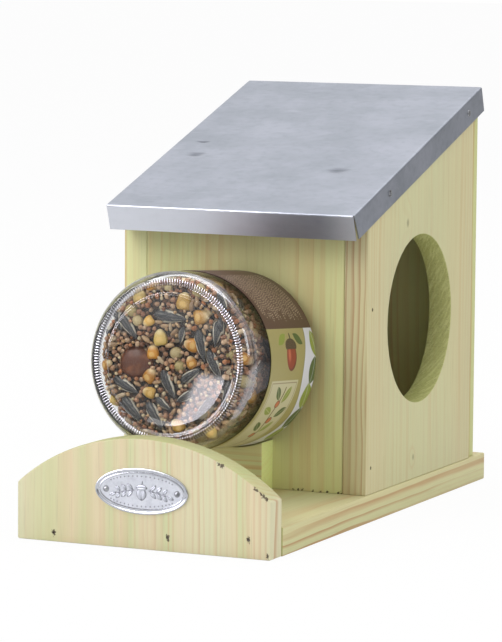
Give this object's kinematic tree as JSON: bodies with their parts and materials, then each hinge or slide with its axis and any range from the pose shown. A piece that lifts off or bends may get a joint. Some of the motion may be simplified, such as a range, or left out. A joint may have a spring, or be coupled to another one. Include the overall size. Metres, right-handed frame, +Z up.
{
  "type": "squirrel feeder box",
  "caption": "Roofed softwood feeder box on a long base board, with a side entry hole and a glass feed jar held by its neck in the front panel behind an arched stop board.",
  "frame": {"origin": "middle of the underside of the base, on the ground plane, halfway between the stop board's front face and the base board's rear end", "axes": "+X towards the side panel with the round entry hole, +Y from the stop board to the back panel, +Z up"},
  "size_m": [0.153, 0.311, 0.2356],
  "materials": {
    "treated_pine": "planed pine, pressure treated to a pale green",
    "pale_pine": "planed pine, cream with pinkish grain",
    "roof_sheet": "matt galvanised sheet",
    "plate_metal": "satin plated plate",
    "wire_nail": "dull bright wire",
    "roof_nail": "dull galvanised",
    "clear_glass": "clear polished glass",
    "label_paper": "coated paper, brown and olive",
    "nuts_and_seeds": "mixed nuts, maize and seeds"
  },
  "bodies": {
    "box": {"base_board": "treated_pine", "jar_rest": "treated_pine", "left_panel": "treated_pine", "right_panel": "treated_pine", "front_panel": "treated_pine", "back_panel": "treated_pine", "stop_board": "pale_pine", "roof_sheet": "roof_sheet", "nameplate": "plate_metal", "nameplate_pins": "plate_metal", "stop_board_nails": "wire_nail", "jar_rest_nails": "wire_nail", "front_panel_nails_left": "wire_nail", "front_panel_nails_right": "wire_nail", "back_panel_nails": "wire_nail", "floor_nails": "wire_nail", "roof_nails_left": "roof_nail", "roof_nails_right": "roof_nail"},
    "jar": {"jar_glass": "clear_glass", "jar_label": "label_paper", "seed_mix": "nuts_and_seeds"}
  },
  "joints": [
    {"name": "jar_lift", "type": "hinge", "parent": "box", "child": "jar", "pos_m": [0, -0.0283, 0.137], "axis": [-1, 0, 0], "range_deg": [0, 25]}
  ]
}
